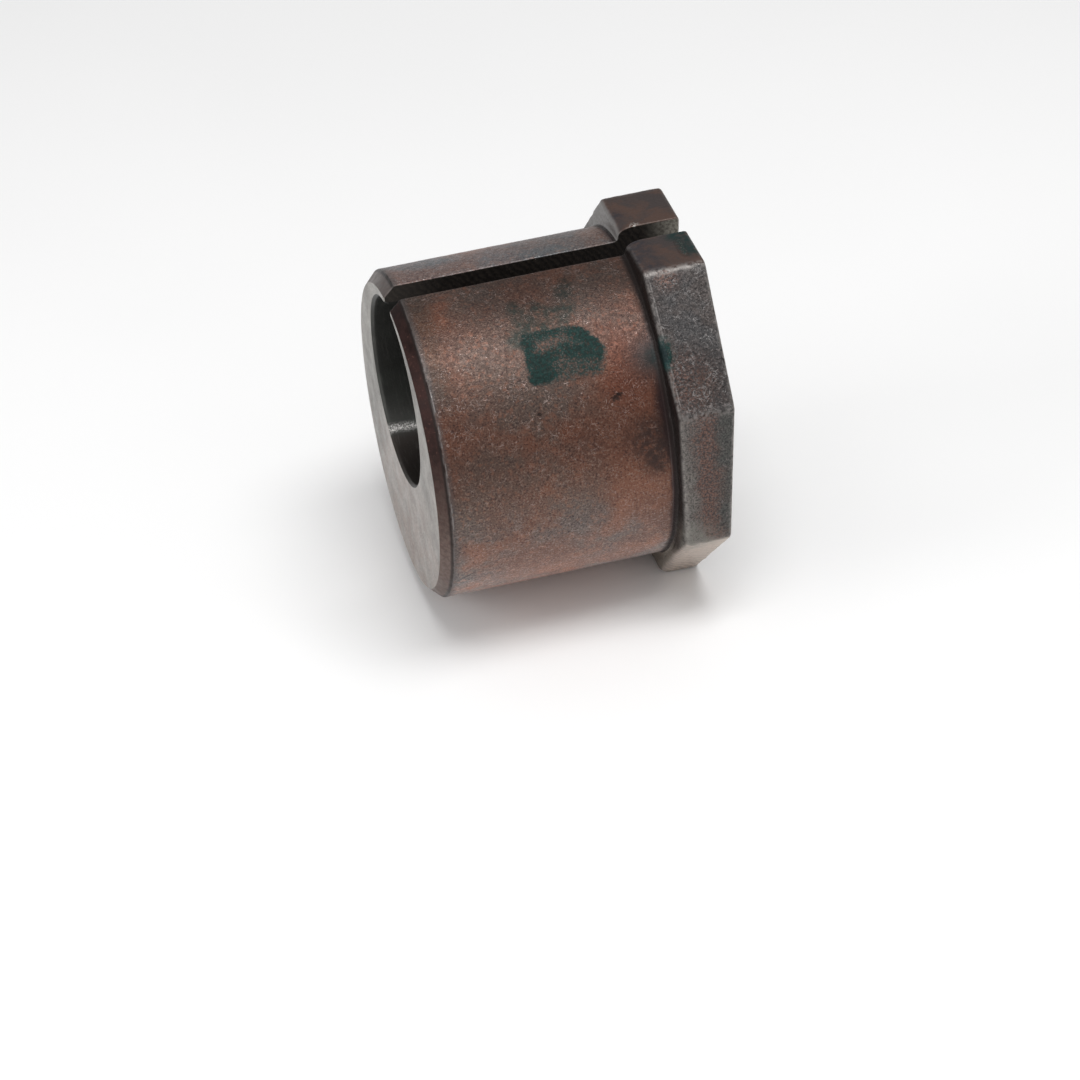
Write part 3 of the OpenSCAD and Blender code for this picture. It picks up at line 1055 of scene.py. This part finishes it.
def machined_metal(s):
    """Bare turned metal: fine marks that run round the sleeve's axis, faint brown stains and dark specks."""
    look = Look("machined_metal")
    y, z, turn = look.y, look.z, look.turn
    polar = look.add("ShaderNodeCombineXYZ")
    look.put(polar.inputs[0], look.maths("SQRT", look.plus(look.times(y, y), look.times(z, z))))
    look.put(polar.inputs[1], look.times(look.maths("ARCTAN2", y, z), 0.9))
    marks = look.noise(0.14, detail=3, roughness=0.6, place=polar.outputs[0])
    stain = look.noise(2.4, detail=5, roughness=0.65)
    darker = tuple(part * 0.80 for part in s.bare_colour)
    low = look.between(z, 2, -12, 0.15, 0.85)
    brown = look.times(low, look.between(look.noise(2.2, detail=6, roughness=0.65), 0.38, 0.62))
    pores = look.between(look.noise(0.30, detail=4, roughness=0.75), 0.36, 0.62)
    grit = look.noise(0.25, detail=3, roughness=0.65)
    colour = look.layers(
        s.bare_colour,
        (look.between(stain, 0.35, 0.65), darker),
        (brown, (0.33, 0.262, 0.232)),
    )
    colour = look.gains(
        colour,
        (look.between(z, -3, 9, 0, 0.8), (0.68, 0.71, 0.69)),
        (look.band(turn, 222, 272, 16), (0.62, 0.64, 0.63)),
        (look.band(turn, 104, 114, 12), (0.60, 0.61, 0.60)),
        (look.band(turn, 20, 62, 10), (0.74, 0.73, 0.72)),
        (1, look.mix(pores, (0.66, 0.64, 0.63), (1.14, 1.13, 1.12))),
    )
    colour = look.layers(
        colour,
        (look.between(marks, 0.50, 0.70, 0, 0.45), (0.26, 0.245, 0.23)),
        (look.between(marks, 0.46, 0.32, 0, 0.35), (0.52, 0.50, 0.48)),
        (look.between(grit, 0.32, 0.43, 0.7, 0), (0.13, 0.12, 0.11)),
        (look.times(look.value("wear"), 0.35), (0.55, 0.53, 0.51)),
    )
    rough = look.between(stain, 0.3, 0.7, 0.34, 0.48)
    normal = look.bump(grit, 0.010 * MM, look.bump(marks, 0.010 * MM))
    return look.shade(colour, rough, normal, 0.8)


def bored_metal(s):
    """Inside of the bore: dull grey-green metal, browner low down, with a narrow painted highlight of bright
    glints between.
    """
    look = Look("bored_metal")
    clouds = look.noise(4, detail=4)
    rounds = look.noise(0.22, detail=3, place=look.stretched((1, 0.12, 0.12)))
    grit = look.noise(0.16, detail=2)
    # A narrow band of bright glints where light through the slit falls on the bore: a painted highlight.
    painted_highlight_band = look.band(look.turn, 211.5, 216, 2.4)
    painted_sparkle = look.times(painted_highlight_band, look.between(grit, 0.42, 0.60, 0.12, 1))
    painted_sparkle = look.times(painted_sparkle, look.between(look.noise(1.1, detail=3), 0.36, 0.58, 0.45, 1.3))
    colour = look.layers(
        (0.050, 0.052, 0.047),
        (look.between(clouds, 0.35, 0.65), (0.038, 0.038, 0.035)),
        (look.between(look.turn, 205, 214, 1, 0), (0.034, 0.028, 0.025)),
        (look.between(rounds, 0.52, 0.74, 0, 0.3), (0.11, 0.105, 0.10)),
        (painted_sparkle, (0.40, 0.385, 0.37)),
    )
    rough = look.between(painted_highlight_band, 0, 1, 0.46, 0.30)
    normal = look.bump(grit, 0.02 * MM, look.bump(rounds, 0.006 * MM))
    return look.shade(colour, rough, normal, 0.6, specular=0.3)


def sawn_metal(s):
    """Walls of the slit: dark, with slanting saw marks, and paler towards the flange's back."""
    look = Look("sawn_metal")
    slant = look.scaled(look.z, 0.75, look.x)
    slant = look.scaled(look.noise(1.2, detail=4, roughness=0.65), 1.6, slant)
    marks = look.scaled(look.maths("SINE", look.times(slant, 8)), 0.5, 0.5)
    fine = look.noise(0.3, detail=3)
    marks = look.times(marks, look.between(fine, 0.3, 0.65, 0.3, 1))
    worn = look.mix(look.between(fine, 0.4, 0.65), (0.230, 0.215, 0.185), (0.120, 0.110, 0.092))
    colour = look.layers(
        (0.010, 0.008, 0.007),
        (marks, (0.026, 0.020, 0.016)),
        (look.between(look.x, -23.5, -18, 0.35, 0), (0.085, 0.075, 0.066)),
        (look.between(look.x, 2.4, 6.2, 0, 0.95), worn),
    )
    rough = look.between(fine, 0.3, 0.7, 0.50, 0.68)
    return look.shade(colour, rough, look.bump(marks, 0.025 * MM), 0.4, specular=0.3)


def metal_materials(settings):
    """The metal's finishes, in the order of their numbers."""
    makers = (machined_metal, bevel_skin, sleeve_skin, flange_skin, bored_metal, sawn_metal)
    return [make(settings) for make in makers]


# ---------------------------------------------------------------- finish of the paint

def worn_paint(name, sleeve, paint, under_colour):
    """Blue-green paint worn through to the metal in grains, by the share of it that is left."""
    look = Look(name)
    grains = look.noise(0.30, detail=3, roughness=0.68)
    clouds = look.noise(1.6, detail=3)
    fine = look.noise(0.16, detail=2, roughness=0.6)
    left = look.times(look.value("cover"), look.between(clouds, 0.66, 0.44, 0.72, 1))
    grainy = look.scaled(look.maths("SUBTRACT", grains, 0.5), 1.7, left)
    cover = look.times(look.between(grainy, 0, 0.80), look.between(left, 0, 0.25))
    flecks = look.times(look.between(fine, 0.52, 0.66), look.between(left, 0.45, 0.9, 0.6, 0.10))
    tone = look.layers(
        tuple(0.40 * part for part in paint.colour),
        (look.between(grains, 0.40, 0.62), tuple(paint.colour)),
        (look.between(left, 0.30, 0.80, 0.75, 0), (0.030, 0.038, 0.036)),
        (flecks, (0.17, 0.15, 0.135)),
    )
    colour = look.mix(cover, under_colour(look, sleeve), tone)
    rough = look.between(cover, 0, 1, 0.45, 0.62)
    metallic = look.scaled(cover, -0.35, 0.7)
    return look.shade(colour, rough, skin_grain(look), metallic, specular=0.3)


# ---------------------------------------------------------------- operators

class OBJECT_OT_bushing_body(Operator):
    """Builds the metal part"""
    bl_idname = "object.bushing_body"
    bl_label = "Metal Part"

    def execute(self, context):
        if SLEEVE_LENGTH <= 0:
            raise RuntimeError("the sleeve has no length in the frame")
        build_metal(context.scene.bushing_sleeve)
        return {"FINISHED"}


class OBJECT_OT_marking_paint(Operator):
    """Builds the three worn dabs of marking paint"""
    bl_idname = "object.marking_paint"
    bl_label = "Marking Paint"

    def execute(self, context):
        sleeve, paint = context.scene.bushing_sleeve, context.scene.bushing_paint
        side_turn = 2 * HALF_SIDE
        dabs = (
            ("paint_on_sleeve", "sleeve_paint_dab", dab_on_sleeve, sleeve_cover, sleeve_colour, 11),
            ("paint_on_side_flat", "flange_side_paint_dab", dab_on_flat("flange_side_paint_dab", side_turn),
             side_cover, side_flat_colour, 12),
            ("paint_on_top_flat", "flange_top_paint_dab", dab_on_flat("flange_top_paint_dab", 0.0),
             top_cover, top_flat_colour, 13),
        )
        for name, node, place, left, under, seed in dabs:
            material = worn_paint(name, sleeve, paint, under)
            build_dab(name, node, place, left, paint, material, seed)
        return {"FINISHED"}


def floor_material(colour):
    """Plain pale floor: matt, with a very faint unevenness."""
    look = Look("pale_floor")
    cloud = look.noise(60, detail=2)
    darker = tuple(0.985 * part for part in colour)
    shade = look.mix(look.between(cloud, 0.3, 0.7), tuple(colour), darker)
    return look.shade(shade, 0.8, look.bump(cloud, 0.01 * MM), 0)


def soft_light(name, place, target, size, power):
    """An area light that faces a target. Its size is (width, height)."""
    data = bpy.data.lights.new(name, "AREA")
    data.shape = "RECTANGLE"
    data.size, data.size_y = size
    data.energy = power
    light = bpy.data.objects.new(name, data)
    light.location = place
    light.rotation_euler = (Vector(target) - Vector(place)).to_track_quat("-Z", "Y").to_euler()
    bpy.context.scene.collection.objects.link(light)


def aim_camera(settings):
    """Camera placed by its turn round the object, its height angle and a slight roll, all in radians."""
    azimuth, elevation, roll = -0.2246, 0.6218, -0.0762
    place = Vector((-91.68, -353.33, 242.66)) * MM
    back = np.array([
        math.sin(azimuth) * math.cos(elevation), -math.cos(azimuth) * math.cos(elevation), math.sin(elevation)
    ])
    across = unit(np.cross([0, 0, 1], back))
    upward = np.cross(back, across)
    right = math.cos(roll) * across + math.sin(roll) * upward
    upward = -math.sin(roll) * across + math.cos(roll) * upward
    data = bpy.data.cameras.new("camera")
    data.lens = settings.lens
    data.sensor_width = 36
    data.clip_start, data.clip_end = 0.01, 50
    camera = bpy.data.objects.new("camera", data)
    turned = Matrix(np.stack([right, upward, back], axis=1).tolist()).to_4x4()
    camera.matrix_world = Matrix.Translation(place) @ turned
    bpy.context.scene.collection.objects.link(camera)
    bpy.context.scene.camera = camera


class OBJECT_OT_bushing_studio(Operator):
    """Sets up the pale floor, the soft lights and the camera"""
    bl_idname = "object.bushing_studio"
    bl_label = "Studio"

    def execute(self, context):
        s = context.scene.bushing_studio
        middle = (-9 * MM, 0, 0)
        half = 1.5
        height = METAL_LOW.z - RELIEF_ROOM
        corners = [(-half, -half, height), (half, -half, height), (half, half, height), (-half, half, height)]
        mesh = bpy.data.meshes.new("floor")
        mesh.from_pydata(corners, [], [(0, 1, 2, 3)])
        mesh.materials.append(floor_material(s.floor_colour))
        floor = bpy.data.objects.new("floor", mesh)
        context.scene.collection.objects.link(floor)
        soft_light("overhead", (0.02, -0.09, 0.36), middle, (0.26, 0.16), s.key_power)
        soft_light("beside", (-0.40, -0.05, 0.16), middle, (0.22, 0.22), s.side_power)
        soft_light("front", (-0.05, -0.45, 0.30), middle, (0.5, 0.2), s.front_power)
        world = bpy.data.worlds.new("room")
        world.use_nodes = True
        background = world.node_tree.nodes["Background"]
        background.inputs["Color"].default_value = (1, 1, 1, 1)
        background.inputs["Strength"].default_value = s.world_strength
        context.scene.world = world
        context.scene.view_settings.view_transform = "Standard"
        aim_camera(s)
        return {"FINISHED"}


class VIEW3D_PT_bushing(Panel):
    """Sidebar panel that lists the operators and their settings."""
    bl_label = "Sleeve Bushing"
    bl_idname = "VIEW3D_PT_bushing"
    bl_space_type = "VIEW_3D"
    bl_region_type = "UI"
    bl_category = "Bushing"

    def draw(self, context):
        scene = context.scene
        sections = (
            (OBJECT_OT_bushing_body, scene.bushing_sleeve),
            (OBJECT_OT_marking_paint, scene.bushing_paint),
            (OBJECT_OT_bushing_studio, scene.bushing_studio),
        )
        for operator, settings in sections:
            box = self.layout.box()
            box.operator(operator.bl_idname)
            for name in settings.__annotations__:
                box.prop(settings, name)


CLASSES = (
    SleeveSettings,
    PaintSettings,
    StudioSettings,
    OBJECT_OT_bushing_body,
    OBJECT_OT_marking_paint,
    OBJECT_OT_bushing_studio,
    VIEW3D_PT_bushing,
)


def register():
    """Registers the classes and hangs their settings on the scene."""
    for cls in CLASSES:
        bpy.utils.register_class(cls)
    bpy.types.Scene.bushing_sleeve = PointerProperty(type=SleeveSettings)
    bpy.types.Scene.bushing_paint = PointerProperty(type=PaintSettings)
    bpy.types.Scene.bushing_studio = PointerProperty(type=StudioSettings)


def unregister():
    """Undoes register."""
    del bpy.types.Scene.bushing_studio
    del bpy.types.Scene.bushing_paint
    del bpy.types.Scene.bushing_sleeve
    for cls in reversed(CLASSES):
        bpy.utils.unregister_class(cls)


def main():
    """Builds everything."""
    register()
    bpy.ops.object.bushing_body()
    bpy.ops.object.marking_paint()
    bpy.ops.object.bushing_studio()
    bpy.context.view_layer.update()


if __name__ == "__main__":
    main()
